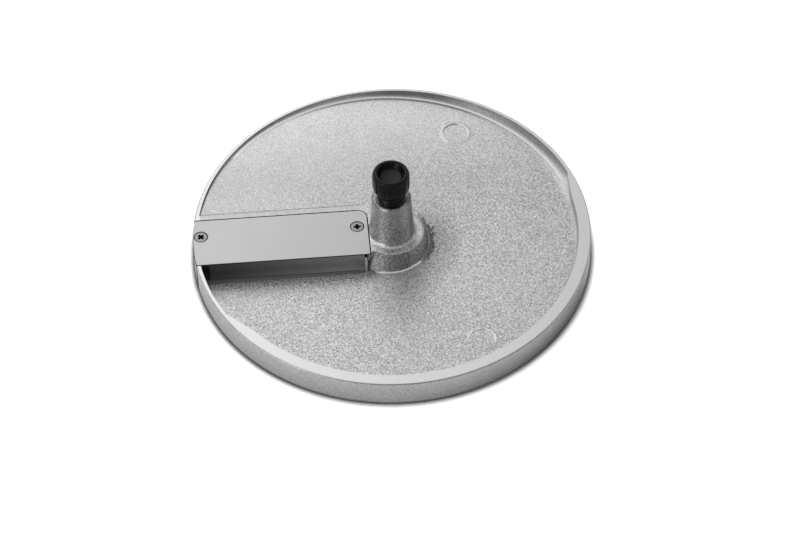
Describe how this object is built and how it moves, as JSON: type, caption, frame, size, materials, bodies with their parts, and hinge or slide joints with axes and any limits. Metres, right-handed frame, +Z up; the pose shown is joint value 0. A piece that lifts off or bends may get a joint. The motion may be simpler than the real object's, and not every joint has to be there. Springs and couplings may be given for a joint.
{
  "type": "slicing disc",
  "caption": "Cast aluminium slicing disc with a ramped deck, a straight steel blade held by countersunk screws and a hub post with a black knob.",
  "frame": {"origin": "centre of the rim's underside, on the axis of rotation", "axes": "+Z up along the axis of rotation towards the knob; the blade lies along X on the -X side and its cutting edge faces -Y"},
  "size_m": [0.205, 0.205, 0.0582],
  "materials": {
    "cast_aluminium": "sparkling cast skin, with a machined rim face",
    "blade_steel": "fine satin",
    "screw_steel": "satin",
    "black_plastic": "moulded, low sheen",
    "stud_steel": "plain turned"
  },
  "bodies": {
    "root": {"disc_casting": "cast_aluminium", "blade": "blade_steel", "blade_screws": "screw_steel", "knob": "black_plastic", "knob_stud": "stud_steel"}
  },
  "joints": []
}
